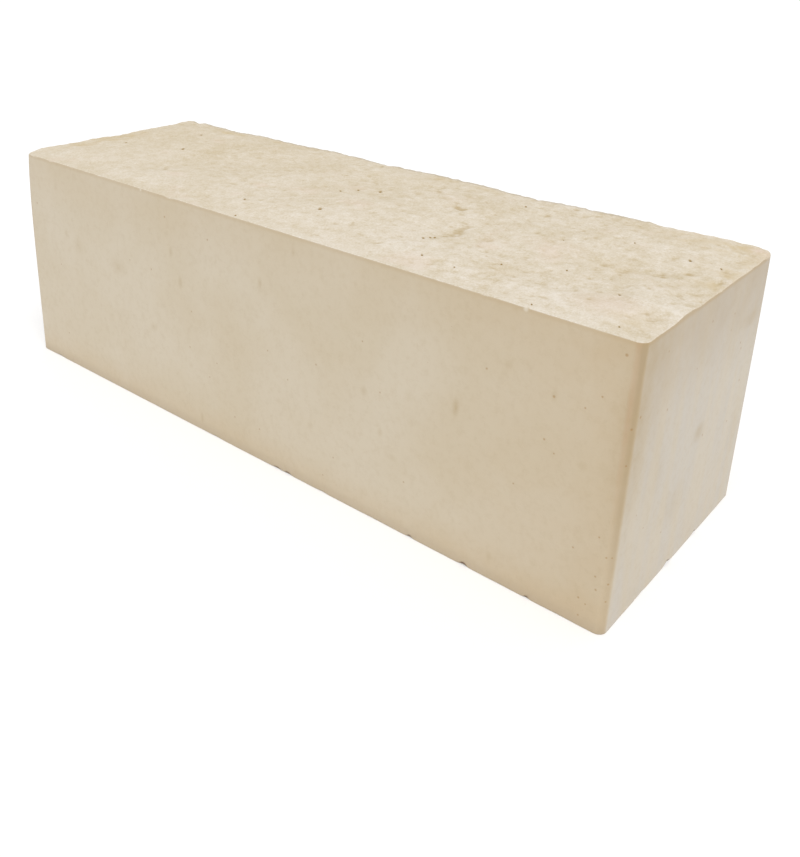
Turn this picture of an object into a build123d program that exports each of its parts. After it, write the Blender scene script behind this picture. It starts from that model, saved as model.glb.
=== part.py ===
from build123d import *

import os
from math import cos, exp, hypot, radians, sin, tan, tau

# Linear paver: a long block of concrete, cast face down in a mould with a riven liner.
# The bed lies on z = 0 with the origin at its middle, +X runs along the block, +Z points up.

# Block, in millimetres and degrees
FACE_LENGTH = 300.0  # walking face, arris to arris, along X
FACE_WIDTH = 100.0  # walking face, arris to arris, along Y
ARRIS_HEIGHT = 97.5  # from the bed up to the arris
DRAFT_ANGLE = 1.0  # lean of every side, so that the block leaves its mould
CORNER_RADIUS = 3.0  # upright edges, the same from the bed to the arris

# Riven walking face, in millimetres
CROWN = 0.9  # mean rise of the riven face over its arris
ARRIS_MARGIN = 18.0  # width beside the arris over which the face rises to its crown
ARRIS_WAVE = 0.35  # share of the swells that still shows along the arris
RIM_WIDTH = 12.0  # run of a flake scar's broken rim, from its floor up to the face
LINER_PITCH = 8.0  # spacing of the points that the face is drawn through
LINER_CLOSENESS = 0.05  # how near the face passes to those points
LINER_STIFFNESS = (1.0, 1.0, 1.0)  # weights on the face's length, bending and change of bending
LINER_DEGREE = 5  # highest degree of the face's curves

# Swells: wave length, heading in plan, height, phase in turns
SWELLS = [
    (150.0, 20.0, 0.35, 0.10),
    (84.0, 115.0, 0.30, 0.45),
    (52.0, -35.0, 0.22, 0.80),
    (37.0, 65.0, 0.16, 0.25),
]

# Flake scars: middle in X and Y, radius, heading of the steep rim, depth below the face
SCARS = [
    (15.0, -12.0, 42.5, 25.0, 1.30),
    (-62.0, 20.0, 34.0, 200.0, 0.70),
    (-112.0, -14.0, 30.0, 330.0, 0.80),
    (103.0, -24.0, 27.0, 40.0, 0.85),
    (118.0, 24.0, 25.0, 300.0, 0.75),
    (-34.0, -30.0, 18.0, 120.0, 0.55),
]
SCAR_FADE = 2.0  # how fast a scar runs out away from its rim, per radius


def ramp(value):
    """Smooth step: 0 below 0, 1 above 1, level at both ends."""
    held = min(max(value, 0.0), 1.0)
    return held * held * (3.0 - 2.0 * held)


def swell_height(x, y):
    """Sum of long plane waves, each running along its own heading."""
    height = 0.0
    for length, heading, size, phase in SWELLS:
        along = x * cos(radians(heading)) + y * sin(radians(heading))
        height += size * sin(tau * (along / length + phase))
    return height


def scar_depth(x, y):
    """Round shallow dishes, each deepening towards one side, where a rim climbs back to the face."""
    depth = 0.0
    for middle_x, middle_y, radius, heading, drop in SCARS:
        dx = x - middle_x
        dy = y - middle_y
        inside = ramp((radius - hypot(dx, dy)) / RIM_WIDTH + 0.5)
        towards_rim = (dx * cos(radians(heading)) + dy * sin(radians(heading))) / radius
        depth += drop * inside * exp(-SCAR_FADE * (1.0 - towards_rim))
    return depth


def riven_height(x, y):
    """Height of the walking face: level with the arris at the sides, crowned and riven inside."""
    from_end = FACE_LENGTH / 2 - abs(x)
    from_side = FACE_WIDTH / 2 - abs(y)
    inner = ramp(from_end / ARRIS_MARGIN) * ramp(from_side / ARRIS_MARGIN)
    swell = (ARRIS_WAVE + (1.0 - ARRIS_WAVE) * inner) * swell_height(x, y)
    return ARRIS_HEIGHT + inner * (CROWN - scar_depth(x, y)) + swell


def spaced(half_length):
    """Even steps of about one liner pitch from -half_length to half_length."""
    steps = round(2 * half_length / LINER_PITCH)
    return [half_length * (2 * step / steps - 1) for step in range(steps + 1)]


def cast_block(height):
    """Block as the mould's sides shape it: a rectangle that tapers upwards by the draft, with its
    four upright edges rounded."""
    spread = ARRIS_HEIGHT * tan(radians(DRAFT_ANGLE))
    bed = Rectangle(FACE_LENGTH + 2 * spread, FACE_WIDTH + 2 * spread)
    block = extrude(bed, amount=height, taper=DRAFT_ANGLE)
    upright_edges = block.edges().filter_by(Plane.XY, reverse=True)
    return fillet(upright_edges, CORNER_RADIUS)


def riven_liner(thickness):
    """Mould liner: a smooth sheet through the riven heights, thickened upwards past the block."""
    across = spaced(FACE_WIDTH / 2 + LINER_PITCH)
    along = spaced(FACE_LENGTH / 2 + LINER_PITCH)
    rows = [[(x, y, riven_height(x, y)) for y in across] for x in along]
    sheet = Face.make_surface_from_array_of_points(
        rows, tol=LINER_CLOSENESS, smoothing=LINER_STIFFNESS, max_deg=LINER_DEGREE
    )
    return extrude(sheet, amount=thickness, dir=(0, 0, 1))


tallest_swell = sum(size for length, heading, size, phase in SWELLS)
head_room = 2 * (CROWN + tallest_swell)
paver = cast_block(ARRIS_HEIGHT + head_room) - riven_liner(2 * head_room)

os.makedirs("parts", exist_ok=True)
export_step(paver, "parts/paver.step")
size = paver.bounding_box().size
print(f"paver {size.X:.2f} x {size.Y:.2f} x {size.Z:.2f} mm, {paver.volume / 1e6:.3f} litres")
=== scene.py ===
# %% [markdown]
# # A linear paver
# The object is one block of pale concrete, cast upside down in a mould. The mould's floor gave it a
# riven face, like split stone, and the mould's smooth walls gave it plain sides that lean a little.
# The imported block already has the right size, draft and broad relief. What it lacks is what the eye
# reads as concrete: broken rims, dents, air holes, worn arrises and the faint clouds of colour.
# So this lesson works out one fine skin for the block and paints it with three finishes.

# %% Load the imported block
import math

import bpy
import numpy as np
from mathutils import Matrix, Vector


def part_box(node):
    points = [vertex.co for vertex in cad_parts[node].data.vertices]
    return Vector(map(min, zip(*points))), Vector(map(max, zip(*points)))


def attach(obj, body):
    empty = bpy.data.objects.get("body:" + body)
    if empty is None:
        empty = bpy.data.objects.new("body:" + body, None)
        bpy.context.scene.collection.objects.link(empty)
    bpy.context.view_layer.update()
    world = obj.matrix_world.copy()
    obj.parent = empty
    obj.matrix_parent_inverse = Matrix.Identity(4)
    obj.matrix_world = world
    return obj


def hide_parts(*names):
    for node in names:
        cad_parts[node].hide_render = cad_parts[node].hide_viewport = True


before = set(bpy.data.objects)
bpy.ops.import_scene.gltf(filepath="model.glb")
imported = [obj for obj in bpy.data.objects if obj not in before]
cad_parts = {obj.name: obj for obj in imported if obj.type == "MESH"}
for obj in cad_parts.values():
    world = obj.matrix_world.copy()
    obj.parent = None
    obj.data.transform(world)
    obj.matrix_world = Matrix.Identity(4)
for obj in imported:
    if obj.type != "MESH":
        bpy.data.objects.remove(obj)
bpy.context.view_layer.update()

bed_low, bed_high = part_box("paver")

# %% [markdown]
# ## Sizes
# A shape formula is easier to read in millimetres, the unit that a mould is drawn in. The bed's
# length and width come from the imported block, and the face follows from the draft of the walls.
# The core is the rectangle that the corner arcs are centred on. It steers all that follows.

# %% Driving sizes, in millimetres
MM = 0.001  # metres in a millimetre
ARRIS_HEIGHT = 97.5  # bed to arris
DRAFT = math.tan(math.radians(1.0))  # lean of the walls, as a slope
CORNER_RADIUS = 3.0  # upright edges, the same from the bed to the arris
spread = ARRIS_HEIGHT * DRAFT
half_length = (bed_high.x - bed_low.x) / MM / 2 - spread
half_width = (bed_high.y - bed_low.y) / MM / 2 - spread
core_length = half_length - CORNER_RADIUS
core_width = half_width - CORNER_RADIUS
print(f"walking face {2 * half_length:.1f} x {2 * half_width:.1f} mm, walls spread {spread:.2f} mm")

# %% [markdown]
# ## The plan of the walking face
# The face is a rounded rectangle. A square grid is the simplest thing to carve, but its corners are
# sharp, so each corner square is bent onto a quarter disc. That keeps one tidy grid of quads, and
# its outer loop can run straight on into the walls. The lines close up beside the arris, where the
# edge turns over within half a millimetre.

# %% Grid lines that close up at the arris
FACE_PITCH = 0.72  # spacing of the grid lines over the face
ARRIS_STEPS = np.array([0.0, 0.06, 0.18, 0.36, 0.62, 1.0])  # lines beside the arris, from the edge


def face_lines(half):
    """Even lines over the middle, and the arris steps laid off from each end."""
    inner = half - ARRIS_STEPS[-1]
    count = round(2 * inner / FACE_PITCH)
    middle = np.linspace(-inner, inner, count + 1)[1:-1]
    return np.concatenate([ARRIS_STEPS - half, middle, half - ARRIS_STEPS[::-1]])


def core_point(x, y):
    """The nearest point of the core rectangle."""
    return np.clip(x, -core_length, core_length), np.clip(y, -core_width, core_width)


def rounded_plan(x, y):
    """Each corner square, measured out from the arc's centre as u and v from 0 to 1, goes to
    (u * sqrt(1 - v*v/2), v * sqrt(1 - u*u/2)): its two outer sides land on the quarter circle."""
    core_x, core_y = core_point(x, y)
    u = (x - core_x) / CORNER_RADIUS
    v = (y - core_y) / CORNER_RADIUS
    bent_x = core_x + CORNER_RADIUS * u * np.sqrt(1 - v * v / 2)
    bent_y = core_y + CORNER_RADIUS * v * np.sqrt(1 - u * u / 2)
    return bent_x, bent_y


grid_x, grid_y = np.meshgrid(face_lines(half_length), face_lines(half_width), indexing="ij")
face_x, face_y = rounded_plan(grid_x, grid_y)
print("face grid", face_x.shape, "points")

# %% Distance from the edge
def edge_distance(x, y):
    """Distance inside the outline: the radius less the distance from the core, or, over the core,
    the distance to the nearest side."""
    core_x, core_y = core_point(x, y)
    beside = CORNER_RADIUS - np.hypot(x - core_x, y - core_y)
    inside = np.minimum(half_length - np.abs(x), half_width - np.abs(y))
    return np.maximum(np.where(beside < CORNER_RADIUS, beside, inside), 0.0)


face_edge = edge_distance(face_x, face_y)
print(f"deepest point lies {face_edge.max():.1f} mm inside the edge")

# %% [markdown]
# ## Random but repeatable roughness
# Broken stone has no pattern, yet the script must give the same block each time. Gradient noise
# does that: a seeded table of slopes at the corners of a lattice, blended inside every square.

# %% Noise
TABLE_SIDE = 256


def ramp(value):
    """Smooth step: 0 below 0, 1 above 1, level at both ends."""
    held = np.clip(value, 0.0, 1.0)
    return held * held * (3.0 - 2.0 * held)


def wander(x, y, size, seed):
    """Gradient noise of about -1 to 1 whose lumps are size across: at each lattice corner a random
    slope, times the way from that corner, and a smooth blend of the four corners."""
    turn = np.random.default_rng(seed).uniform(0.0, 2.0 * np.pi, (TABLE_SIDE, TABLE_SIDE))
    u, v = x / size, y / size
    i, j = np.floor(u).astype(int), np.floor(v).astype(int)
    du, dv = u - i, v - j
    blend_u = du**3 * (10.0 - 15.0 * du + 6.0 * du**2)
    blend_v = dv**3 * (10.0 - 15.0 * dv + 6.0 * dv**2)

    def slope(a, b):
        angle = turn[(i + a) % TABLE_SIDE, (j + b) % TABLE_SIDE]
        return np.cos(angle) * (du - a) + np.sin(angle) * (dv - b)

    near = slope(0, 0) + blend_u * (slope(1, 0) - slope(0, 0))
    far = slope(0, 1) + blend_u * (slope(1, 1) - slope(0, 1))
    return 1.5 * (near + blend_v * (far - near))


print(f"noise spread {wander(face_x, face_y, 12.0, 1).std():.3f}")

# %% [markdown]
# ## Broad relief: swells and flake scars
# These are the forms that the imported block has too: long swells, and round scars where a flake
# seems to have split off. In the block a scar's rim is a soft slope. Here the rim of the largest
# scar is a broken ledge: it is narrow, its radius is listed and it is higher in some places.
# Places on the face were read off the photograph as if the face were level with its arris. It
# stands a little higher, so each place slides along its line of sight towards the camera.

# %% Broad relief, in millimetres
CROWN = 0.9  # mean rise of the riven face over its arris
ARRIS_MARGIN = 18.0  # width beside the arris over which the face rises to its crown
SCAR_FADE = 2.0  # how fast a scar runs out away from its rim, per radius
SCAR_THINNEST = 0.4  # least share of a scar's depth
SCAR_PATCH = (19.0, 23)  # noise that thins a scar: size and seed
RIM_SHAKE = [(9.0, 1.5, 20), (4.0, 1.2, 21)]  # noises that make a rim ragged: size, shift, seed
CAMERA_SPOT = (233.32, -265.47, 198.49)  # where the photograph was taken from

# Swells: wave length, heading in plan, height, phase in turns
SWELLS = [
    (150, 20, 0.35, 0.1),
    (84, 115, 0.3, 0.45),
    (52, -35, 0.22, 0.8),
    (37, 65, 0.16, 0.25),
]

# Flake scars: X, Y, radius, heading of the steep rim, depth below the face, run of the rim
SCARS = [
    (15, -12, 42.5, 25, 0.85, 5),
    (-62, 20, 34, 200, 0.7, 12),
    (-112, -14, 30, 330, 0.8, 12),
    (103, -24, 27, 40, 0.85, 9),
    (118, 24, 25, 300, 0.75, 10),
    (-34, -30, 18, 120, 0.55, 9),
]

# Ledge of the largest scar: heading from its middle, and radius
LEDGE = [
    (-90, 41), (-30, 40), (-12, 41.2), (2, 45.6), (17, 47.1), (30, 42.2),
    (46, 41.5), (58, 41.3), (69, 39.6), (82, 49.5), (110, 43),
]


def inner_share(x, y):
    """0 along the arris and 1 inside its margin, smooth between them."""
    from_ends = ramp((half_length - np.abs(x)) / ARRIS_MARGIN)
    return from_ends * ramp((half_width - np.abs(y)) / ARRIS_MARGIN)


def settled(x, y, rise):
    """A place seen on the arris plane, moved to a surface above it: towards the camera by that rise
    over the camera's height above the arris."""
    share = rise / (CAMERA_SPOT[2] - ARRIS_HEIGHT)
    return x + share * (CAMERA_SPOT[0] - x), y + share * (CAMERA_SPOT[1] - y)


def turned_to(x, y, heading):
    """Lengths along and across a heading in degrees."""
    aim = math.radians(heading)
    return x * math.cos(aim) + y * math.sin(aim), y * math.cos(aim) - x * math.sin(aim)


def swell_height(x, y):
    """Sum of long plane waves, each running along its own heading."""
    height = np.zeros_like(x)
    for length, heading, size, phase in SWELLS:
        along = turned_to(x, y, heading)[0]
        height += size * np.sin(2.0 * np.pi * (along / length + phase))
    return height


def scar_depth(x, y):
    """Round dishes that deepen towards one side and end there in a ragged rim: the distance from
    the middle is shaken by noise before it is compared with the radius, and noise thins the depth.
    The radius of the first dish is read off along its ledge."""
    ragged = sum(shift * wander(x, y, size, seed) for size, shift, seed in RIM_SHAKE)
    patchy = SCAR_THINNEST + (1.0 - SCAR_THINNEST) * ramp(wander(x, y, *SCAR_PATCH) + 0.5)
    depth = np.zeros_like(x)
    for step, (middle_x, middle_y, radius, heading, drop, rim) in enumerate(SCARS):
        middle_x, middle_y = settled(middle_x, middle_y, CROWN)
        dx, dy = x - middle_x, y - middle_y
        reach = radius
        if step == 0:
            reach = np.interp(np.degrees(np.arctan2(dy, dx)), *np.transpose(LEDGE))
        inside = ramp((reach + ragged - np.hypot(dx, dy)) / rim + 0.5)
        towards_rim = turned_to(dx, dy, heading)[0] / radius
        depth += drop * inside * np.exp(-SCAR_FADE * (1.0 - np.minimum(towards_rim, 1.0)))
    return patchy * depth


def broad_height(x, y):
    """Crown, swells and scars together, all fading to nothing at the arris."""
    return inner_share(x, y) * (CROWN - scar_depth(x, y) + swell_height(x, y))


def on_face(x, y):
    """A place seen on the arris plane, settled on the broad relief."""
    return settled(x, y, float(broad_height(np.float64(x), np.float64(y))))


broad = broad_height(face_x, face_y)
print(f"broad relief {broad.min():.2f} to {broad.max():.2f} mm about the arris")

# %% [markdown]
# ## Fine relief: lumps, dents and single hollows
# Close to, the face is a field of low lumps with small dents between them, rougher towards one end.
# Some hollows and air holes are large enough to know by their place, so they are listed one by one.
# The air holes look round in the photograph although the face is seen at a low angle, so in plan
# they must be ovals that point towards the camera.

# %% Hollows and air holes of the riven face
HOLLOW_DEPTH = 0.55  # of a hollow whose share is 1
OUTLINE_SIZE = 4.0  # lumps of the noise that shakes a hollow's outline
OUTLINE_SHIFT = 1.3  # how far it shakes the outline
# Hollows: X, Y, half length, half width, heading, share of the depth; a ridge has a share below 0
HOLLOWS = [
    (22, 37, 3, 1.4, -70, 0.45), (24.5, 30, 4, 1.3, -55, 0.4),
    (31, 24.5, 4.5, 1.2, -25, 0.3), (42.5, 18.6, 4.2, 1.9, -30, 0.75),
    (33.5, 26, 4.5, 0.9, -25, -0.25), (41, 21.5, 4, 0.9, -30, -0.25),
    (50.5, 9.6, 3.2, 1.6, -35, 0.25), (59.5, -3.5, 5.5, 1.7, 88, 0.28),
    (60, -10, 3, 1.4, 80, 0.2), (57, -17.5, 3.2, 1.5, 60, 0.2),
    (57, -12.5, 2.4, 1.6, 20, 0.2), (28, 15.5, 3.4, 0.9, -60, 0.25),
    (25.7, 3.5, 1.6, 1.1, 0, 0.28), (21.5, -9.5, 3, 1.8, 30, 0.22),
    (26.2, -26, 2.6, 1.4, -60, 0.3), (21, -30.3, 3.2, 1.5, 25, 0.32),
    (72, 32, 3.6, 2, 10, 0.3), (71.3, -9, 3, 2, 50, 0.26),
    (71.7, -22.6, 2.6, 1.6, 20, 0.26), (88, -16, 4.5, 2.2, 15, 0.28),
    (86, -31.4, 2.6, 1.6, 40, 0.28), (95.5, -31, 2.8, 1.6, -30, 0.28),
    (121, -2.3, 3.2, 2.4, 50, 0.42), (114.8, -8.8, 2.8, 1.7, 70, 0.38),
    (112.5, -0.8, 2.6, 1.5, 0, 0.26), (120.2, 3.2, 2, 1.4, 0, 0.26),
    (138.6, -1.3, 2.4, 1.8, 60, 0.32), (137.7, 8.4, 1.6, 1.3, 0, 0.28),
    (147.2, 8.5, 7, 1.2, -82, 0.55), (146, -7.6, 2.2, 1.6, 70, 0.3),
    (139.6, -20, 3.2, 2.2, 80, 0.3), (113, -32.3, 2.4, 1.6, 20, 0.28),
    (117.8, -29, 2, 1.3, 40, 0.26), (145, -35.5, 3, 1.6, 85, 0.28),
    (-72, 25, 1.9, 1.6, 0, 0.36), (-69.2, 1.1, 2.4, 1.3, -40, 0.3),
    (-64.7, -3.7, 2.2, 1.3, -40, 0.3), (-64.3, 37.5, 2, 1.4, 0, 0.26),
    (-42.4, 10.8, 1.9, 1.3, 0, 0.26), (-41.5, -19.7, 2, 1.2, -20, 0.3),
    (-115, 38.4, 3.4, 2.4, -40, 0.42), (-108.4, 41.3, 2.4, 1.4, -30, 0.3),
    (-143, -23.6, 3.2, 2, 40, 0.35), (-144, 10, 2.6, 1.6, 50, 0.28),
    (-70.5, -31.5, 5.5, 3, 10, 0.2), (-22, 35, 4.5, 2.6, 80, 0.26),
    (-18.3, 45.6, 3.2, 0.9, -55, 0.5), (13.5, 45.3, 2.6, 1.8, 60, 0.4),
    (136, 42.5, 5, 2, 10, 0.3), (143.5, 40.5, 3, 1.6, -20, 0.25),
]

HOLE_HEADING = -50.0  # of the ovals, towards the camera
HOLE_STRETCH = 2.0  # length of an air hole over its width
HOLE_WAIST = 0.75  # width of a hole's bell over the listed radius
# Air holes: X, Y, radius
FACE_HOLES = [
    (-105.5, 5.7, 0.95), (-122, 30.7, 0.9), (-133.7, -5.6, 0.8), (7.2, 13.7, 0.95),
    (-0.7, 9.3, 0.7), (-5, 3.4, 0.6), (5.6, -20.1, 1), (-23.6, -31.4, 0.6),
    (-10.6, -48, 0.55), (54.8, -20.9, 0.7), (56.3, -18.8, 0.62), (57.4, -17.7, 0.6),
    (60.6, 37, 0.6), (64.7, -34.7, 0.55), (79.2, -36.9, 0.42), (88.8, -24.3, 0.45),
    (107, -14.7, 0.38), (128.8, -22.5, 0.5), (132.2, 22, 0.7), (142.7, 21.5, 0.46),
    (91.3, 11.2, 0.35), (110.8, 26, 0.35), (139.6, -44.4, 0.36), (113.5, -47, 0.36),
]


def hollow_depth(x, y):
    """Sum of long bells: share * exp(-(along/half length)^2 - (across/half width)^2), times the
    depth, laid over a plan that noise has shaken a little, so that no outline is a plain oval."""
    shaken_x = x + OUTLINE_SHIFT * wander(x, y, OUTLINE_SIZE, 35)
    shaken_y = y + OUTLINE_SHIFT * wander(x, y, OUTLINE_SIZE, 36)
    depth = np.zeros_like(x)
    for middle_x, middle_y, length, width, heading, share in HOLLOWS:
        middle_x, middle_y = on_face(middle_x, middle_y)
        along, across = turned_to(shaken_x - middle_x, shaken_y - middle_y, heading)
        depth += share * np.exp(-((along / length) ** 2) - (across / width) ** 2)
    return HOLLOW_DEPTH * depth


def hole_plan(x, y):
    """The plan turned to the heading of the air holes and squeezed along it, so that they are round."""
    along, across = turned_to(x, y, HOLE_HEADING)
    return along / HOLE_STRETCH, across


def hole_depth(x, y):
    """Long bells a little deeper than wide, one for each listed air hole."""
    depth = np.zeros_like(x)
    for middle_x, middle_y, radius in FACE_HOLES:
        middle_x, middle_y = on_face(middle_x, middle_y)
        along, across = hole_plan(x - middle_x, y - middle_y)
        depth += radius * np.exp(-(along**2 + across**2) / (HOLE_WAIST * radius) ** 2)
    return depth


print(len(HOLLOWS), "hollows and", len(FACE_HOLES), "air holes")

# %% Fine relief, in millimetres
LUMPS = [(10.0, 0.15), (5.0, 0.12), (2.6, 0.09), (1.6, 0.07)]  # size and height
DENT_SIZE = 3.6
DENT_DEPTH = 0.12
DENT_START = 0.15  # noise above which a dent presses in
DENT_RUN = 0.7  # and the further noise at which it has its full depth
CROWD_SIZE = 38.0  # extent of a place where the dents crowd together
SMOOTHEST = 0.78  # share of the roughness at the smoother end
ROUGHENS = 0.7  # the face grows rougher over this share of its length, about the middle
ARRIS_CALM = 6.0  # width beside the front arris over which the face calms down to a straight edge
CALMEST = 0.15  # share of the fine relief that is left at the front arris


def lump_height(x, y):
    """Sum of noises, from walnut-sized lumps down to grit."""
    return sum(height * wander(x, y, size, 31 + step) for step, (size, height) in enumerate(LUMPS))


def dent_depth(x, y):
    """Noise above a threshold, so that only its peaks press in. A slower noise, and the way along
    the block, shift the threshold, so that the dents crowd together here and there."""
    crowd = 0.22 * wander(x, y, CROWD_SIZE, 41) + 0.1 * x / half_length
    peaks = wander(x, y, DENT_SIZE, 43) + 0.6 * wander(x, y, DENT_SIZE / 2, 44) + crowd
    return DENT_DEPTH * ramp((peaks - DENT_START) / DENT_RUN)


rough = SMOOTHEST + (1.0 - SMOOTHEST) * ramp((face_x / half_length + ROUGHENS) / (2.0 * ROUGHENS))
fine = rough * (lump_height(face_x, face_y) - dent_depth(face_x, face_y))
fine = fine - hollow_depth(face_x, face_y)
calm = CALMEST + (1.0 - CALMEST) * ramp((face_y + half_width) / ARRIS_CALM)
print(f"fine relief {fine.min():.2f} to {fine.max():.2f} mm, spread {fine.std():.3f}")

# %% [markdown]
# ## The arris
# The edge between the face and a wall is crisp but never a razor: it is turned over by about a
# quarter of a millimetre, and here and there a crumb is missing. A quarter round whose radius
# wanders gives both, because a crumb is only a place where the radius grows. The front arris runs
# straight. The others rise and fall by about half a millimetre, as the outline of the block shows.

# %% Arris, in millimetres
ARRIS_ROUND = 0.24  # radius of an unworn arris
ARRIS_WEAR = 0.55  # how much the radius wanders
WEAR_SIZE = 5.0  # length of a worn place
END_CALMEST = 0.35  # share of the wear that is left at the near end
CRUMBLE_WIDTH = 4.0  # width beside the arris that its lumps reach
ARRIS_CRUMBLE = [(6.0, 0.22), (2.6, 0.16)]  # size and height of the lumps along the rougher arrises
# Rise of each rougher arris: place along it and height
BACK_RISE = [
    (-150, -0.2), (-140, -0.3), (-115, -0.8), (-95, 0), (-70, -0.3), (-48, 0.3),
    (-18, -0.3), (8, 0.3), (30, 0.3), (56, -0.4), (70, 0.2), (92, 0.5), (135, 0.6),
    (150, 0.2),
]
FAR_END_RISE = [
    (-50, 0), (-28, 0.1), (-10, 0.1), (3, -0.5), (14, 0.1), (36, 0), (46, 0.8),
    (50, 0.4),
]
NEAR_END_RISE = [
    (-50, 0), (-31, 0), (-25, 0.7), (-20, 0.5), (-14, -0.1), (36, -0.1), (45, 0.5),
    (50, 0.3),
]
# Missing crumbs: X, Y, reach along the edge, extra radius
CRUMBS = [
    (-46, -50, 2, 0.45), (99.5, -50, 1.4, 0.2), (-141, -50, 2.6, 0.45),
    (-128, -50, 1.8, 0.4), (150, -14, 2, 0.3), (150, 24, 2.5, 0.2),
    (-18, 50, 2.6, 1), (60, 50, 2.5, 0.8), (110, 50, 3, 0.8),
    (-90, 50, 2.6, 0.7), (-150, -20, 3.4, 0.8), (-150, 26, 2.6, 0.7),
    (149.5, 45, 3.4, 1.3),
]


def crumb_loss(x, y, crumbs):
    """Sum of round bells: the extra radius at the middle of each missing crumb."""
    loss = np.zeros_like(x)
    for crumb_x, crumb_y, reach, extra in crumbs:
        loss += extra * np.exp(-((x - crumb_x) ** 2 + (y - crumb_y) ** 2) / reach**2)
    return loss


def quarter_round_drop(distance, radius):
    """Drop of a quarter round at a distance in from its edge: r - sqrt(r^2 - (r - distance)^2)."""
    short = np.clip(radius - distance, 0.0, radius)
    return radius - np.sqrt(radius**2 - short**2)


def arris_rise(x, y):
    """Height of the nearest arrises: each rise is read off along its arris and fades to nothing
    over the margin beside it."""
    rise = np.zeros_like(x)
    for points, along, inside in (
        (BACK_RISE, x, half_width - y),
        (FAR_END_RISE, y, half_length + x),
        (NEAR_END_RISE, y, half_length - x),
    ):
        place, height = np.transpose(points)
        rise += np.interp(along, place, height) * (1.0 - ramp(inside / ARRIS_MARGIN))
    return rise


crumble = sum(height * wander(face_x, face_y, size, 55) for size, height in ARRIS_CRUMBLE)
even = calm * (END_CALMEST + (1.0 - END_CALMEST) * ramp((half_length - face_x) / ARRIS_CALM))
waves = arris_rise(face_x, face_y) + even * crumble * (1.0 - ramp(face_edge / CRUMBLE_WIDTH))
wear = ARRIS_WEAR * even * np.maximum(wander(face_x, face_y, WEAR_SIZE, 61), 0.0)
arris_radius = ARRIS_ROUND + wear + crumb_loss(face_x, face_y, CRUMBS)
turned_over = quarter_round_drop(face_edge, arris_radius)
unpitted_z = ARRIS_HEIGHT + broad + waves + calm * fine - turned_over
face_z = unpitted_z - hole_depth(face_x, face_y)
print(f"walking face lies {face_z.min():.2f} to {face_z.max():.2f} mm above the bed")

# %% [markdown]
# ## Walls and bed
# The outer loop of the face grid is carried down to the bed. At each row the core rectangle grows
# by the draft and the corner arcs keep their radius, as in a real mould with rounded corners. At
# the foot the loop turns under by a small radius, which grows where the edge is chipped.

# %% Loop round the face
columns, rows = face_x.shape
ids = np.arange(columns * rows).reshape(columns, rows)
loop = np.concatenate([ids[:-1, 0], ids[-1, :-1], ids[:0:-1, -1], ids[0, :0:-1]])
loop_x, loop_y, loop_z = (values.ravel()[loop] for values in (face_x, face_y, face_z))
loop_core_x, loop_core_y = core_point(loop_x, loop_y)
out_x = (loop_x - loop_core_x) / CORNER_RADIUS
out_y = (loop_y - loop_core_y) / CORNER_RADIUS
print("loop of", len(loop), "points round the face")

# %% Wall and foot rows
WALL_STEPS = np.array([0.3, 0.9, 2.2, 5.0, 10.0])  # rows beside each arris, from the edge
WALL_ROWS = 6  # even rows between them
FOOT_ROUND = 0.3  # radius of an unworn foot
FOOT_WEAR = 0.25
FOOT_WEAR_SIZE = 7.0
BED_INSET = 4.0  # flat margin between the foot and the bed's middle
# Chips along the foot: X, Y, reach along the edge, extra radius
FOOT_CHIPS = [
    (12, -51.7, 2.6, 0.7), (18, -51.7, 2.2, 0.8), (36, -51.7, 2, 0.4),
    (77.7, -51.7, 1.4, 0.8), (100.5, -51.7, 1.6, 1.1), (125, -51.7, 1.2, 0.8),
    (-23.7, -51.7, 3, 0.4), (-137, -51.7, 2.5, 0.5), (151.7, -4.7, 2, 1.3),
    (151.7, 18.3, 1.8, 0.8), (151.7, -24, 1.6, 0.4), (-151.7, 12, 3, 1.1),
    (-60, 51.7, 3, 1.1), (35, 51.7, 2.4, 0.9), (118, 51.7, 3.2, 1),
]


def loop_row(z, inset=0.0):
    """The loop at height z: the core grown by the draft less the inset, plus the corner radius."""
    grow = (ARRIS_HEIGHT - z) * DRAFT - inset
    x = loop_core_x * (1.0 + grow / core_length) + out_x * CORNER_RADIUS
    y = loop_core_y * (1.0 + grow / core_width) + out_y * CORNER_RADIUS
    return np.stack([x, y, z + np.zeros_like(x)], axis=-1)


foot_line = loop_row(0.0)
foot_chip = crumb_loss(foot_line[:, 0], foot_line[:, 1], FOOT_CHIPS)
foot_worn = np.maximum(wander(foot_line[:, 0], foot_line[:, 1], FOOT_WEAR_SIZE, 71), 0.0)
foot = FOOT_ROUND + FOOT_WEAR * foot_worn + foot_chip
between = np.linspace(WALL_STEPS[-1], ARRIS_HEIGHT - WALL_STEPS[-1], WALL_ROWS + 2)[1:-1]
down = np.concatenate([WALL_STEPS, between, ARRIS_HEIGHT - WALL_STEPS[::-1]]) / ARRIS_HEIGHT
wall = [loop_row(loop_z + (foot - loop_z) * share) for share in down]
for angle in np.radians([0.0, 45.0, 90.0]):
    wall.append(loop_row(foot * (1.0 - np.sin(angle)), foot * (1.0 - np.cos(angle))))
wall.append(loop_row(0.0, BED_INSET))
print(len(wall), "rows from the arris to the bed")

# %% [markdown]
# ## Worn corners
# Corners take the knocks when blocks are stacked. Each worn corner of the face is pushed inwards
# and down as a whole, face and walls together, so that the skin stays closed.

# %% Worn corners, in millimetres
# X and Y of the middle, push in X and Y, drop, reach in plan
WORN_CORNERS = [
    (-150, -50, 1.2, 1.2, 0.8, 5), (-145.5, 50, 0, -0.3, 1.1, 3.6),
    (150, 50, -0.3, -0.3, 0.4, 4),
]
CORNER_FADE = 16.0  # depth below the arris at which the wear has dropped to a third


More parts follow.
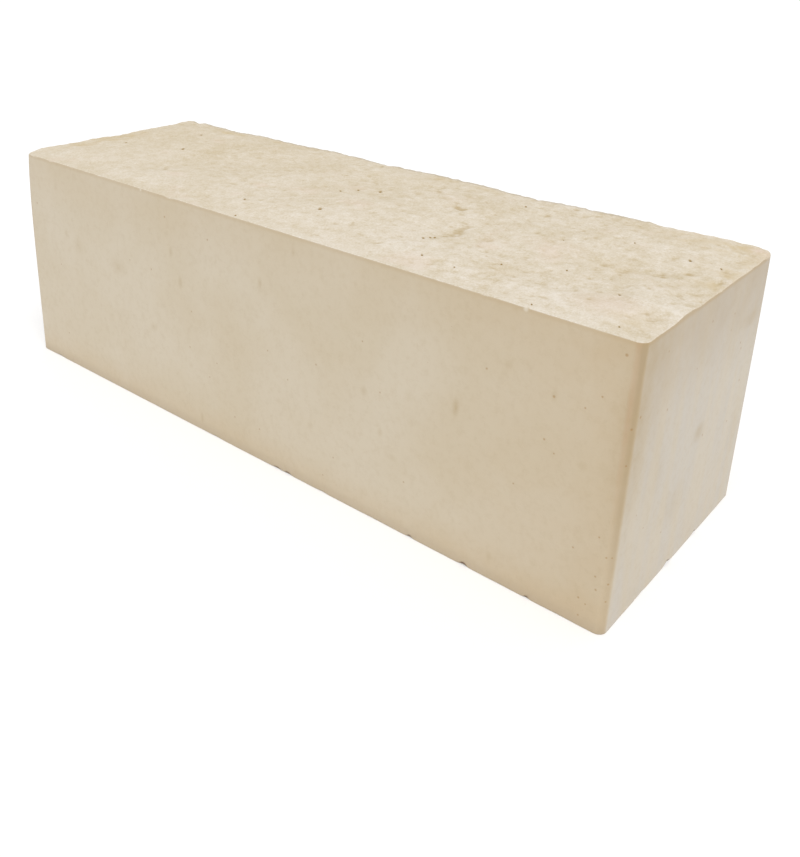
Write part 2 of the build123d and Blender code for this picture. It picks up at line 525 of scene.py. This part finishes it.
def worn(xyz):
    """Pushes each worn corner inwards and down: its wear, times a bell of the distance from its
    middle in plan, times a decay with the depth below the arris."""
    moved = xyz.copy()
    for middle_x, middle_y, push_x, push_y, drop, reach in WORN_CORNERS:
        away = np.hypot(xyz[:, 0] - middle_x, xyz[:, 1] - middle_y)
        share = np.exp(-((away / reach) ** 2) - (ARRIS_HEIGHT - xyz[:, 2]) / CORNER_FADE)
        moved += share[:, None] * np.array([push_x, push_y, -drop])
    return moved


face_points = np.stack([face_x, face_y, face_z], axis=-1).reshape(-1, 3)
unworn = np.concatenate([face_points, *wall])
points = worn(unworn)
print(f"the most worn point moved {np.abs(points - unworn).max():.2f} mm")

# %% [markdown]
# ## One closed mesh
# Face, walls and bed share their loops, so the skin is closed by construction and needs no merging.
# The quads are worked out as whole index arrays. The flat middle of the bed is a single face.

# %% Build the mesh
def face_quads():
    """Corners of every grid square, anticlockwise seen from above."""
    corners = [ids[:-1, :-1], ids[1:, :-1], ids[1:, 1:], ids[:-1, 1:]]
    return np.stack(corners, axis=-1).reshape(-1, 4)


def wall_quads(rings):
    """Corners of every square between two rings, anticlockwise seen from outside."""
    ahead = np.roll(rings, -1, axis=1)
    return np.stack([rings[1:], ahead[1:], ahead[:-1], rings[:-1]], axis=-1).reshape(-1, 4)


def placed(name, data):
    """A new object that holds the data, linked into the scene."""
    thing = bpy.data.objects.new(name, data)
    bpy.context.scene.collection.objects.link(thing)
    return thing


wall_ids = len(face_points) + np.arange(len(wall) * len(loop)).reshape(len(wall), -1)
rings = np.vstack([loop, wall_ids])
quads = np.concatenate([face_quads(), wall_quads(rings)])
faces = quads.tolist() + [rings[-1][::-1].tolist()]

mesh = bpy.data.meshes.new("paver_skin")
mesh.from_pydata((points * MM).tolist(), [], faces)
mesh.polygons.foreach_set("use_smooth", np.ones(len(faces), dtype=bool))
mesh.update()
paver = placed("paver_skin", mesh)
triangles = sum(len(face) - 2 for face in faces)
print("skin of", len(points), "points and", triangles, "triangles, sound:", not mesh.validate())

# %% [markdown]
# ## What the surface remembers
# Some finishes follow the shape: painted shade and dust lie in hollows, painted shade lies in the
# chips along the foot, and painted shade darkens the upright edges. Each such rule is worked out
# once for every point and kept in the mesh as an attribute, which the materials then read.

# %% Point attributes
CAVITY_PASSES = 26  # averages that blur the face before its hollows are measured
CAVITY_SPAN = 0.5  # height in millimetres over which the mark goes from 0 to 1
CAVITY_CLEAR = 1.5  # width beside the arris, where the turned edge is no hollow
EDGE_SHADE_BAND = (0.0, 52.0, 54.0, 90.0)  # degrees round an upright edge: none, full, full, none
ROSY_BAND = (0.0, 14.0, 18.0, 48.0)  # the same
END_FROM = 60.0  # degrees round an upright edge at which the end's finish begins
CHIP_HEIGHT = 1.6  # how far up the wall the painted shade of a chipped foot reaches


def keep(name, face_values, wall_values):
    """Stores one number for each point of the skin: an array for the face, and one number for each
    point of the loop for the walls."""
    layer = mesh.attributes.new(name, "FLOAT", "POINT")
    values = np.concatenate([face_values.ravel(), wall_values.ravel()])
    layer.data.foreach_set("value", np.ascontiguousarray(values, dtype=np.float32))


def on_rows(values):
    """The same value down every row of the walls."""
    return np.tile(values, (len(wall), 1))


def smoothed(values, passes):
    """Repeated averages: half of each point and an eighth of each of its four neighbours."""
    for _ in range(passes):
        ring = np.pad(values, 1, mode="edge")
        around = ring[:-2, 1:-1] + ring[2:, 1:-1] + ring[1:-1, :-2] + ring[1:-1, 2:]
        values = values / 2 + around / 8
    return values


def band(angle, start, full, still_full, end):
    """Rises from 0 at start to 1 at full, and falls from 1 at still_full to 0 at end."""
    return ramp((angle - start) / (full - start)) * ramp((end - angle) / (end - still_full))


nowhere = np.zeros_like(face_x)
cavity = (smoothed(unpitted_z, CAVITY_PASSES) - unpitted_z) * ramp(face_edge / CAVITY_CLEAR)
sunk = np.clip(0.5 + cavity / CAVITY_SPAN, 0.0, 1.0)
keep("sunk", sunk, on_rows(np.full_like(loop_x, 0.5)))

turned = np.degrees(np.arctan2(np.abs(out_x), np.abs(out_y)))  # 0 on the long sides, 90 on the ends
# The band round each upright edge that takes painted shade
keep("upright", nowhere, on_rows(band(turned, *EDGE_SHADE_BAND)))
keep("rosy_edge", nowhere, on_rows(band(turned, *ROSY_BAND)))
keep("on_end", nowhere, on_rows(ramp((turned - END_FROM) / (90.0 - END_FROM))))

# The chips of the foot, where painted shade reaches a little way up the wall
wall_heights = np.stack([row[:, 2] for row in wall])
chipped = foot_chip * np.exp(-((wall_heights / CHIP_HEIGHT) ** 2))
keep("chipped", nowhere, np.clip(chipped, 0.0, 1.0))
print(f"hollows down to {cavity.max():.2f} mm, spread {cavity.std():.3f}")

# %% [markdown]
# ## Shader maths as Python
# A material is a sum of small rules, and a node graph hides sums well. So one small class wraps a
# socket: arithmetic on it adds Math nodes, and one method adds any other node.

# %% The socket wrapper
class Signal:
    """One socket of a node tree. Arithmetic between signals and numbers adds Math nodes."""

    def __init__(self, tree, socket):
        self.tree = tree
        self.socket = socket

    def node(self, kind, settings, inputs, output=0):
        """Any node: its type, its settings, which are set first, and its sockets' values or links."""
        made = self.tree.nodes.new("ShaderNode" + kind)
        for name, value in settings.items():
            setattr(made, name, value)
        for name, value in inputs.items():
            if isinstance(value, Signal):
                self.tree.links.new(value.socket, made.inputs[name])
            else:
                made.inputs[name].default_value = value
        return Signal(self.tree, made.outputs[output])

    def maths(self, operation, first, second=0.0):
        return self.node("Math", {"operation": operation}, {0: first, 1: second})

    def __add__(self, other):
        return self.maths("ADD", self, other)

    def __sub__(self, other):
        return self.maths("SUBTRACT", self, other)

    def __rsub__(self, other):
        return self.maths("SUBTRACT", other, self)

    def __mul__(self, other):
        return self.maths("MULTIPLY", self, other)

    __radd__ = __add__
    __rmul__ = __mul__

    def larger(self, other):
        return self.maths("MAXIMUM", self, other)

    def rise(self, start, end):
        """0 at start, 1 at end, smooth between them; start may be the larger."""
        if end < start:
            return 1.0 - self.rise(end, start)
        settings = {"interpolation_type": "SMOOTHSTEP"}
        return self.node("MapRange", settings, {"Value": self, "From Min": start, "From Max": end})

    def tint(self, under, over):
        """Colour that goes from under to over as this signal goes from 0 to 1."""
        return self.node("Mix", {"data_type": "RGBA"}, {0: self, 6: under, 7: over}, output=2)

    def vector(self, operation, other, output=0):
        return self.node("VectorMath", {"operation": operation}, {0: self, 1: other}, output)

    def noise(self, size, detail=2.0, roughness=0.5):
        """Cloudy noise around 0.5 with lumps of about the given size, in this vector's unit."""
        inputs = {"Vector": self, "Scale": 1.0 / size, "Detail": detail, "Roughness": roughness}
        return self.node("TexNoise", {}, inputs)

    def attribute(self, name):
        return self.node("Attribute", {"attribute_name": name}, {}, output="Fac")


def tone(red, green, blue):
    """A colour given as 0 to 255 display values, as linear light."""
    share = np.array([red, green, blue]) / 255.0
    linear = np.where(share <= 0.04045, share / 12.92, ((share + 0.055) / 1.055) ** 2.4)
    return (*map(float, linear), 1.0)


print("cream in linear light:", [round(part, 3) for part in tone(219, 206, 184)[:3]])

# %% [markdown]
# ## Starting a material
# Every finish reads the same thing: its place on the block, in millimetres, from Object
# coordinates. The block's object sits at the origin, so these are the mould's own coordinates.

# %% Material helpers
DRY_GLOSS = 0.25  # concrete mirrors about half as much as the shader's default
SPOT_CORE = 0.2  # share of a spot's radius that has its full strength
SMUDGE_REACH = 1.4  # reach of a smudge over its half sizes


def start_finish(name):
    """A new material with its shader and its place signal in millimetres."""
    material = bpy.data.materials.new(name)
    material.use_nodes = True
    tree = material.node_tree
    shader = tree.nodes["Principled BSDF"]
    coordinates = Signal(tree, tree.nodes.new("ShaderNodeTexCoord").outputs["Object"])
    place = coordinates.vector("MULTIPLY", (1.0 / MM, 1.0 / MM, 1.0 / MM))
    return material, shader, place


def end_finish(place, shader, colour, roughness, height, relief):
    """Links colour and roughness, and a bump whose height signal spans relief millimetres."""
    bump = place.node("Bump", {}, {"Height": height, "Distance": relief * MM, "Strength": 1.0})
    for socket, signal in (("Base Color", colour), ("Roughness", roughness), ("Normal", bump)):
        place.tree.links.new(signal.socket, shader.inputs[socket])
    shader.inputs["Specular IOR Level"].default_value = DRY_GLOSS


def spots(place, marks):
    """Largest of many soft round spots, each 1 at its middle and 0 at its radius."""
    total = 0.0
    for middle, radius in marks:
        spot = place.vector("DISTANCE", middle, output=1).rise(radius, SPOT_CORE * radius)
        total = spot.larger(total)
    return total


def smudges(place, marks):
    """Sum of soft ovals: the length of (place - middle) / half sizes, turned into a smooth fall from
    1 at the middle to 0 at the reach, times the strength."""
    total = 0.0
    for middle, half_sizes, strength in marks:
        scale = tuple(1.0 / size for size in half_sizes)
        reach = place.vector("SUBTRACT", middle).vector("MULTIPLY", scale)
        away = reach.vector("LENGTH", (0.0, 0.0, 0.0), output=1)
        total = away.rise(SMUDGE_REACH, 0.0) * strength + total
    return total


def pinholes(place, spacing, radius, share):
    """Tiny air holes: one random cell in a few has a hole at its middle."""
    settings = {"voronoi_dimensions": "3D", "feature": "F1"}
    cell = place.node("TexVoronoi", settings, {"Vector": place, "Scale": 1.0 / spacing})
    tag = Signal(place.tree, cell.socket.node.outputs["Color"])
    chosen = place.node("SeparateColor", {}, {"Color": tag}).rise(share + 0.01, share)
    return cell.rise(radius / spacing, SPOT_CORE * radius / spacing) * chosen


print("helpers ready")

# %% [markdown]
# ## Finish of the riven face
# The face is the palest part of the block. Its lumps are light, with painted light on the crests,
# and it is painted paler towards the front and the near end, where the sun comes from. The dents
# hold painted shade with a little olive-brown dust, and a warm ochre stain shows in patches near
# the back and both ends. A thin grey line of painted shade runs along the back arris, which turns
# away from the sun. Each is one tint laid over the last, like thin washes.

# %% Riven face
CREAM_DEEP = tone(205, 189, 158)
CREAM_LIGHT = tone(232, 223, 209)
OCHRE = tone(204, 182, 138)
ROSE = tone(226, 204, 186)
HOLLOW_SHADE = tone(180, 154, 108)
FACE_HOLE = tone(147, 112, 12)
BACK_ARRIS_SHADE = tone(168, 157, 143)
FACE_HOLE_REACH = 1.05  # radius of a painted hole over the listed radius
# Ochre stains: X, Y, half length, half width, strength
STAINS = [
    (-144, -8, 9, 28, 1.1), (-113, 43, 14, 4.5, 1.1), (13.5, 45.5, 5, 3.5, 0.9),
    (40, 46, 8, 3, 0.4), (128, 42, 24, 9, 0.7), (141, -40, 9, 9, 0.5),
    (142, 45, 9, 5, 0.7), (147, 16, 4.5, 26, 0.8), (-80, 46, 12, 3, 0.4),
    (118, -4, 14, 10, 0.3), (140, 8, 8, 16, 0.3),
]
# Rosy patches: the same
ROSY = [(130, -31, 12, 9, 0.7), (146, 46, 4, 3, 1), (92, 4, 14, 8, 0.3)]


def riven_finish():
    """Cream by the sum of several noises, painted lighter on crests, towards the front and the near end
    and painted darker in the hollows, then washes: rose, ochre, painted shade and dust in the hollows,
    the back arris's painted shade and the air holes."""
    material, shader, place = start_finish("riven_face")
    sunk = place.attribute("sunk")
    level = place.vector("MULTIPLY", (1.0, 1.0, 0.0))
    along = place.node("SeparateXYZ", {}, {"Vector": place}, output="X")
    across = Signal(place.tree, along.socket.node.outputs["Y"])

    def patches(marks):
        places = [((*on_face(x, y), 0.0), (a, b, 1.0), depth) for x, y, a, b, depth in marks]
        return smudges(level, places)

    # Cream: pale on lumps and grain, deeper in hollows as painted shade, more uneven towards the near
    # end
    cloud = place.noise(24.0, 4.0)
    fleck = place.noise(6.0, 6.0, 0.85)
    grain = place.noise(0.8, 2.0, 0.8)
    blotch = place.noise(7.0, 4.0, 0.6)
    crowd = place.noise(26.0, 2.0).rise(0.38, 0.62)
    # Painted light and shade: paler on crests, darker in hollows, paler towards the front and near end
    pale = 0.405 + 0.6 * (cloud - 0.5) + 1.45 * (grain - 0.5) - 0.8 * (sunk - 0.5)
    pale = pale + (0.8 + 0.5 * crowd) * (fleck - 0.5) + 0.17 * (across.rise(50.0, -50.0) - 0.5)
    pale = pale + along.rise(-150.0, 150.0) * (0.16 + 0.9 * (blotch - 0.5) - 0.2 * (crowd - 0.5))
    colour = pale.tint(CREAM_DEEP, CREAM_LIGHT)
    # Rosy patches and ochre stains: those listed, and faint ones anywhere
    rosy = place.noise(17.0, 2.0).rise(0.58, 0.75) * 0.5 + patches(ROSY)
    colour = (rosy * 0.5).tint(colour, ROSE)
    faint = place.noise(28.0, 3.0).rise(0.6, 0.8) * 0.2
    stained = patches(STAINS) * blotch.rise(0.36, 0.62) + faint
    colour = (stained * 0.7).tint(colour, OCHRE)
    # Painted shade with a little olive-brown dust in the hollows, and painted shade on the back arris
    colour = (sunk.rise(0.62, 1.0) * (0.2 + 0.6 * fleck)).tint(colour, HOLLOW_SHADE)
    # Painted shade along the back arris, which turns over away from the sun
    shaded = across.rise(half_width - 2.4, half_width - 1.0) * along.rise(125.0, 90.0)
    colour = (shaded * 0.36).tint(colour, BACK_ARRIS_SHADE)
    # Air holes, in the turned and squeezed plan that makes them round
    plan_axes = [hole_plan(1.0, 0.0), hole_plan(0.0, 1.0)]
    slant = [level.vector("DOT_PRODUCT", (*axis, 0.0), output=1) for axis in zip(*plan_axes)]
    slanted = place.node("CombineXYZ", {}, {"X": slant[0], "Y": slant[1]})
    middles = [(*hole_plan(*on_face(x, y)), 0.0) for x, y, radius in FACE_HOLES]
    reaches = [FACE_HOLE_REACH * radius for x, y, radius in FACE_HOLES]
    holes = spots(slanted, zip(middles, reaches)).larger(pinholes(place, 11.0, 0.4, 0.12))
    colour = (holes * 0.95).tint(colour, FACE_HOLE)
    height = grain + fleck + place.noise(0.5, 2.0) - 1.2 * holes
    end_finish(place, shader, colour, 0.8 + 0.15 * sunk, height, 0.14)
    return material


riven_face = riven_finish()
print("riven face has", len(riven_face.node_tree.nodes), "nodes")

# %% [markdown]
# ## Finish of the cast sides
# The walls of the mould were smooth, so the sides are plain and close-grained. What they show is
# faint: broad clouds, a warmer band along the arrises with a thin brown line under them, small air
# holes, and smudges where the release oil ran. The upright edges carry brownish painted shade, the
# near one is a little rosy, and broad painted shade lies beside it on the near end. The ends are
# greyer, with a pale bloom drawn down in streaks.

# %% Marks on the visible sides, in millimetres
# Air holes of the front: X, height, radius
FRONT_HOLES = [
    (-49.7, 88.8, 0.6), (-24.5, 85.3, 0.55), (-142.5, 75.3, 0.55), (-127.5, 49.5, 0.45),
    (-127, 15.3, 0.5), (-60.3, 64.3, 0.5), (-74.5, 64.8, 0.4), (-35.8, 52.7, 0.45),
    (-37.8, 36.5, 0.5), (-21.5, 34.5, 0.45), (-26.2, 26.8, 0.45), (-11.7, 14, 0.5),
    (2.5, 14, 0.5), (32.2, 52, 0.5), (7.5, 49.5, 0.45), (18, 41, 0.45),
    (61.8, 51.5, 0.45), (53.3, 67.8, 0.45), (102.5, 74.3, 0.5), (125.7, 73.2, 0.6),
    (124.3, 58.5, 0.55), (145.2, 92.8, 0.65), (73.8, 21.2, 0.45), (41.3, 17.3, 0.45),
    (36.3, 7.7, 0.45), (115.8, 39.3, 0.4), (140.2, 78.4, 0.45), (135.7, 73.2, 0.45),
    (138.2, 26.7, 0.45), (146.5, 20.3, 0.45), (147.3, 15.8, 0.5), (142.3, 10.2, 0.5),
    (144.8, 9, 0.4), (143, 3.9, 0.45), (148.9, 28.3, 0.45), (145.8, 34.1, 0.45),
    (128, 55.1, 0.4),
]
# Smudges of the front: X, height, half width, half height, strength
FRONT_SMUDGES = [
    (-47, 75.2, 1.2, 2, 0.55), (3.8, 75.7, 1.2, 2.4, 0.55), (-42, 63.2, 1.4, 2.6, 0.65),
    (-120.8, 65.7, 1.4, 1.8, 0.45), (20.7, 91.5, 1, 2.2, 0.45), (54.7, 49.5, 1.6, 2.2, 0.5),
    (92.5, 57.3, 1.3, 3.6, 0.7), (62.5, 36.2, 1.2, 1.6, 0.45), (29.7, 26.2, 1.5, 1.5, 0.4),
    (-61.2, 38.2, 2.2, 2, 0.4), (-32, 6.2, 1, 2.6, 0.6), (68.3, 28.7, 1.6, 1.6, 0.35),
    (-112, 61.5, 4.5, 4.5, 0.25), (-83.7, 59.5, 5, 4, 0.35), (13, 30.3, 1.8, 1.2, 0.35),
    (125.7, 73.2, 1.1, 1.8, 0.55), (109.8, 78.1, 1.6, 1.3, 0.4), (137, 54.9, 1.8, 1.4, 0.35),
    (110, 8.8, 1.2, 1.8, 0.4),
]
# Air holes and smudges of the near end, with Y in place of X
END_HOLES = [
    (-33, 89.5, 0.45), (-27.2, 68.7, 0.55), (-0.5, 88.2, 0.55), (19.5, 84.5, 0.5),
    (-7.5, 74.8, 0.45), (31.2, 70.3, 0.55), (32.8, 67.7, 0.5), (37.8, 53.7, 0.6),
    (32.3, 39.8, 0.5), (-15.5, 19, 0.5), (-31.7, 29.5, 0.45), (-38.8, 37.8, 0.4),
    (-46.7, 74.3, 0.6), (18.7, 79, 0.4), (8.7, 44.5, 0.6),
]
# The last three are broad: painted shade beside the near upright edge, and a darker patch at its top
END_SMUDGES = [
    (4.5, 47.5, 4.5, 4, 0.6), (38, 77.5, 9, 3.5, 0.45), (-8, 26, 8, 8, 0.28),
    (-26, 46, 4, 9, 0.25), (41, 34, 5, 12, 0.25), (-47, 68, 7, 38, 0.65),
    (-38, 68, 12, 28, 0.32), (-40, 93, 12, 8, 0.5),
]
# Pale chips just under the front arris: X, height, radius
PALE_CHIPS = [(113.5, 96.9, 1.2), (-64, 96.8, 0.9)]
# Marks on the near upright edge: height, radius
EDGE_MARKS = [(71.3, 0.55), (59.7, 0.45), (28.5, 0.4), (19, 0.55), (12.6, 0.45)]
SIDE_HOLE_REACH = 1.1  # radius of a painted hole over the listed radius


def on_front(x, z):
    """The point of the front wall at a length and a height."""
    return (x, -half_width - (ARRIS_HEIGHT - z) * DRAFT, z)


def on_near_end(y, z):
    """The point of the near end at a width and a height."""
    return (half_length + (ARRIS_HEIGHT - z) * DRAFT, y, z)


def on_near_edge(z):
    """The middle of the near upright edge's arc at a height."""
    inwards = CORNER_RADIUS * (1.0 - math.sqrt(0.5)) - (ARRIS_HEIGHT - z) * DRAFT
    return (half_length - inwards, inwards - half_width, z)


hole_marks = [(on_front(x, z), SIDE_HOLE_REACH * radius) for x, z, radius in FRONT_HOLES]
hole_marks += [(on_near_end(y, z), SIDE_HOLE_REACH * radius) for y, z, radius in END_HOLES]
hole_marks += [(on_near_edge(z), radius) for z, radius in EDGE_MARKS]
smudge_marks = [(on_front(x, z), (w, w, h), s) for x, z, w, h, s in FRONT_SMUDGES]
smudge_marks += [(on_near_end(y, z), (w, w, h), s) for y, z, w, h, s in END_SMUDGES]
print(len(hole_marks), "air holes and", len(smudge_marks), "smudges on the two visible sides")

# %% Cast sides
SIDE = tone(213, 199, 174)
SIDE_GREY = tone(218, 206, 185)
SIDE_WARM = tone(209, 190, 160)
SIDE_PALE = tone(228, 218, 199)
RIM_BROWN = tone(188, 158, 108)
END_BLOOM = tone(209, 201, 189)
END_SHADE = tone(193, 176, 151)
UPRIGHT_EDGE_SHADE = tone(180, 160, 130)
EDGE_ROSE = tone(198, 168, 138)
FOOT_SHADE = tone(181, 165, 144)
SMUDGE = tone(188, 166, 128)
SIDE_HOLE = tone(158, 106, 14)
FOOT_CHIP_SHADE = tone(96, 62, 44)


def cast_finish():
    """A plain side with clouds, then washes: warm bands, the ends' bloom and shade, painted shade on
    the upright edges and along the foot, smudges, the rim under the arris, pale chips, air holes and
    painted shade in the chips of the foot."""
    material, shader, place = start_finish("cast_side")
    upright = place.attribute("upright")
    on_end = place.attribute("on_end")
    along = place.node("SeparateXYZ", {}, {"Vector": place}, output="X")
    height = Signal(place.tree, along.socket.node.outputs["Z"])
    cloud = place.noise(42.0, 4.0).rise(0.35, 0.68)
    mottle = place.noise(9.0, 3.0)
    speck = place.noise(2.6, 5.0, 0.75)
    # Clouds, greyer towards the far end, and warmth at top, foot and near end
    colour = (0.85 * cloud + along.rise(20.0, -130.0) * 0.6).tint(SIDE, SIDE_GREY)
    edges = (height.rise(ARRIS_HEIGHT - 28.0, ARRIS_HEIGHT) * 0.6).larger(height.rise(17.0, 0.0))
    golden = (along.rise(60.0, 145.0) + 0.6 * along.rise(130.0, 150.0)) * (1.0 - on_end)
    warm = (edges * 0.5 + golden * 0.5) * (0.6 + 0.8 * mottle) * (1.0 - 0.5 * on_end)
    colour = warm.tint(colour, SIDE_WARM)
    # Bloom and shade of the ends
    streak = place.vector("MULTIPLY", (1.0, 1.0, 0.14)).noise(8.0, 3.0).rise(0.32, 0.66)
    upper = height.rise(ARRIS_HEIGHT - 40.0, ARRIS_HEIGHT)
    colour = (on_end * (0.45 + 0.5 * streak)).tint(colour, END_BLOOM)
    colour = (on_end * upper * (0.35 + 0.5 * mottle)).tint(colour, END_SHADE)
    # Brownish painted shade on the upright edges, their rose, and painted shade along the foot
    lifted = 0.35 + 0.65 * height.rise(0.0, 75.0) + 0.3 * height.rise(78.0, 95.0)
    colour = (upright * lifted * (0.7 + 0.6 * mottle)).tint(colour, UPRIGHT_EDGE_SHADE)
    rosy = place.attribute("rosy_edge") + 0.2 * along.rise(145.0, 149.0) * (1.0 - on_end)
    uneven = 0.35 + 0.25 * mottle.rise(0.34, 0.6)
    colour = (rosy * height.rise(25.0, 80.0) * uneven).tint(colour, EDGE_ROSE)
    colour = (height.rise(6.0, 0.0) * (1.0 - on_end) * 0.4).tint(colour, FOOT_SHADE)
    # Smudges, the line under the arris, pale chips, air holes and painted shade in the chips of the
    # foot
    marked = smudges(place, smudge_marks) * (0.3 + 0.6 * mottle) + speck.rise(0.42, 0.78) * 0.22
    colour = marked.tint(colour, SMUDGE)
    rim = height.rise(ARRIS_HEIGHT - 2.2, ARRIS_HEIGHT - 0.6) * (0.22 + 0.2 * on_end)
    colour = rim.tint(colour, RIM_BROWN)
    pale_marks = [(on_front(x, z), radius) for x, z, radius in PALE_CHIPS]
    colour = (spots(place, pale_marks) * 0.8).tint(colour, SIDE_PALE)
    holes = spots(place, hole_marks).larger(pinholes(place, 8.0, 0.3, 0.14) * 0.5)
    colour = (holes * 0.44).tint(colour, SIDE_HOLE)
    colour = (place.attribute("chipped").rise(0.25, 0.7) * 0.8).tint(colour, FOOT_CHIP_SHADE)
    roughness = 0.58 + 0.16 * mottle + 0.1 * warm
    relief = place.noise(0.7, 2.0) + 1.5 * place.noise(5.0, 2.0) - 0.6 * holes
    end_finish(place, shader, colour, roughness, relief, 0.03)
    return material


cast_side = cast_finish()
print("cast side has", len(cast_side.node_tree.nodes), "nodes")

# %% [markdown]
# ## Finish of the bed
# The bed was the open side of the mould. It is struck off flat and left rougher and greyer.

# %% Bed
BED_GREY = tone(204, 192, 171)
BED_PALE = tone(214, 203, 184)


def bed_finish():
    """Two greys mixed by a noise that is drawn out along the block, and pinholes."""
    material, shader, place = start_finish("struck_bed")
    drag = place.vector("MULTIPLY", (0.12, 1.0, 1.0)).noise(3.0, 4.0, 0.6)
    colour = drag.rise(0.35, 0.65).tint(BED_GREY, BED_PALE)
    holes = pinholes(place, 5.0, 0.6, 0.3)
    colour = (holes * 0.7).tint(colour, SIDE_HOLE)
    relief = drag + place.noise(0.8) - 2.0 * holes
    end_finish(place, shader, colour, 0.84 + 0.1 * drag, relief, 0.15)
    return material


struck_bed = bed_finish()
for material in (riven_face, cast_side, struck_bed):
    mesh.materials.append(material)
face_count = len(face_quads())
bed_count = 2 * len(loop)  # the last two rows of quads turn under and cross the bed's margin
which = np.ones(len(faces), dtype=np.int32)
which[:face_count] = 0
which[-bed_count - 1:] = 2
mesh.polygons.foreach_set("material_index", which)
print("faces by finish:", np.bincount(which).tolist())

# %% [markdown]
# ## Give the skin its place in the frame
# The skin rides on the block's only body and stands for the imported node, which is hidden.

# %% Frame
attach(paver, "root")
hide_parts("paver")
print("skin rides on the block")

# %% [markdown]
# ## Floor and light
# A pale floor, an even sky and one broad soft sun from the front: a colour comes through about as
# it is written, and the low lumps of the face still show. The floor adds a little glow for the
# camera alone, which takes it up to white and leaves the block's own light and its shadow.

# %% Floor
FLOOR_HALF = 6.0  # metres
FLOOR_GREY = 0.86  # share of the light that the floor gives back
FLOOR_GLOW = 0.16  # added for the camera alone


def backdrop_rays(tree):
    """1 for rays that see the backdrop directly, or in a gloss or a glass."""
    outputs = tree.nodes.new("ShaderNodeLightPath").outputs
    names = ("Is Camera Ray", "Is Glossy Ray", "Is Transmission Ray")
    camera_ray, glossy_ray, glass_ray = (Signal(tree, outputs[name]) for name in names)
    return camera_ray.larger(glossy_ray).larger(glass_ray)


floor_mesh = bpy.data.meshes.new("floor")
signs = ((-1, -1), (1, -1), (1, 1), (-1, 1))
floor_mesh.from_pydata([(x * FLOOR_HALF, y * FLOOR_HALF, 0.0) for x, y in signs], [], [(0, 1, 2, 3)])
floor = placed("floor", floor_mesh)
paper = bpy.data.materials.new("pale_paper")
paper.use_nodes = True
paper_shader = paper.node_tree.nodes["Principled BSDF"]
paper_shader.inputs["Base Color"].default_value = (FLOOR_GREY, FLOOR_GREY, FLOOR_GREY, 1.0)
for name, value in (("Roughness", 1.0), ("Specular IOR Level", 0.0), ("Emission Strength", FLOOR_GLOW)):
    paper_shader.inputs[name].default_value = value
glow = backdrop_rays(paper.node_tree).tint((0.0, 0.0, 0.0, 1.0), (1.0, 1.0, 1.0, 1.0))
paper.node_tree.links.new(glow.socket, paper_shader.inputs["Emission Color"])
floor_mesh.materials.append(paper)
print("floor", 2 * FLOOR_HALF, "m square")

# %% Sky and sun
SKY_STRENGTH = 0.66
SUN_STRENGTH = 1.4
SUN_FROM = Vector((0.36, -0.3, 0.88))
SUN_SOFTNESS = math.radians(30.0)

world = bpy.data.worlds.new("studio")
world.use_nodes = True
sky = world.node_tree.nodes["Background"]
strength = backdrop_rays(world.node_tree) * (1.0 - SKY_STRENGTH) + SKY_STRENGTH
world.node_tree.links.new(strength.socket, sky.inputs["Strength"])
sky.inputs["Color"].default_value = (1.0, 1.0, 1.0, 1.0)
bpy.context.scene.world = world

sun_data = bpy.data.lights.new("soft_sun", "SUN")
sun_data.energy = SUN_STRENGTH
sun_data.angle = SUN_SOFTNESS
sun = placed("soft_sun", sun_data)
sun.rotation_euler = (-SUN_FROM).to_track_quat("-Z", "Y").to_euler()
print("sun of", SUN_STRENGTH, "W per square metre")

# %% [markdown]
# ## Camera
# The camera stands where the photograph was taken from. Its place, turn and focal length were found
# by fitting the block's straight edges to the picture. A small lens shift stands for the crop.

# %% Camera
PICTURE = (800, 857)  # pixels
FOCAL_PIXELS = 919.7
AXIS_PIXEL = (365.0, 333.7)  # where the lens axis meets the picture
CAMERA_AT = Vector(CAMERA_SPOT) * MM
CAMERA_AZIMUTH, CAMERA_ELEVATION, CAMERA_ROLL = np.radians([39.779, 24.514, 1.334])
NEAREST = 0.01  # metres; nothing closer than this is drawn


def camera_axes(azimuth, elevation, roll):
    """Right, up and back of a camera that looks along the azimuth, tips down by the elevation and
    is then rolled about its own axis."""
    level = math.cos(elevation)
    back = Vector((math.sin(azimuth) * level, -math.cos(azimuth) * level, math.sin(elevation)))
    right = Vector((math.cos(azimuth), math.sin(azimuth), 0.0))
    up = back.cross(right)
    rolled_right = right * math.cos(roll) + up * math.sin(roll)
    rolled_up = up * math.cos(roll) - right * math.sin(roll)
    return rolled_right, rolled_up, back


long_side = max(PICTURE)
camera_data = bpy.data.cameras.new("camera")
camera_data.lens = FOCAL_PIXELS * camera_data.sensor_width / long_side
camera_data.shift_x = (PICTURE[0] / 2 - AXIS_PIXEL[0]) / long_side
camera_data.shift_y = (AXIS_PIXEL[1] - PICTURE[1] / 2) / long_side
camera_data.clip_start = NEAREST
camera = placed("camera", camera_data)
turn = Matrix(camera_axes(CAMERA_AZIMUTH, CAMERA_ELEVATION, CAMERA_ROLL)).transposed()
camera.matrix_world = Matrix.Translation(CAMERA_AT) @ turn.to_4x4()
bpy.context.scene.camera = camera
bpy.context.scene.view_settings.view_transform = "Standard"
print(f"lens {camera_data.lens:.1f} mm, shift {camera_data.shift_x:.3f}, {camera_data.shift_y:.3f}")
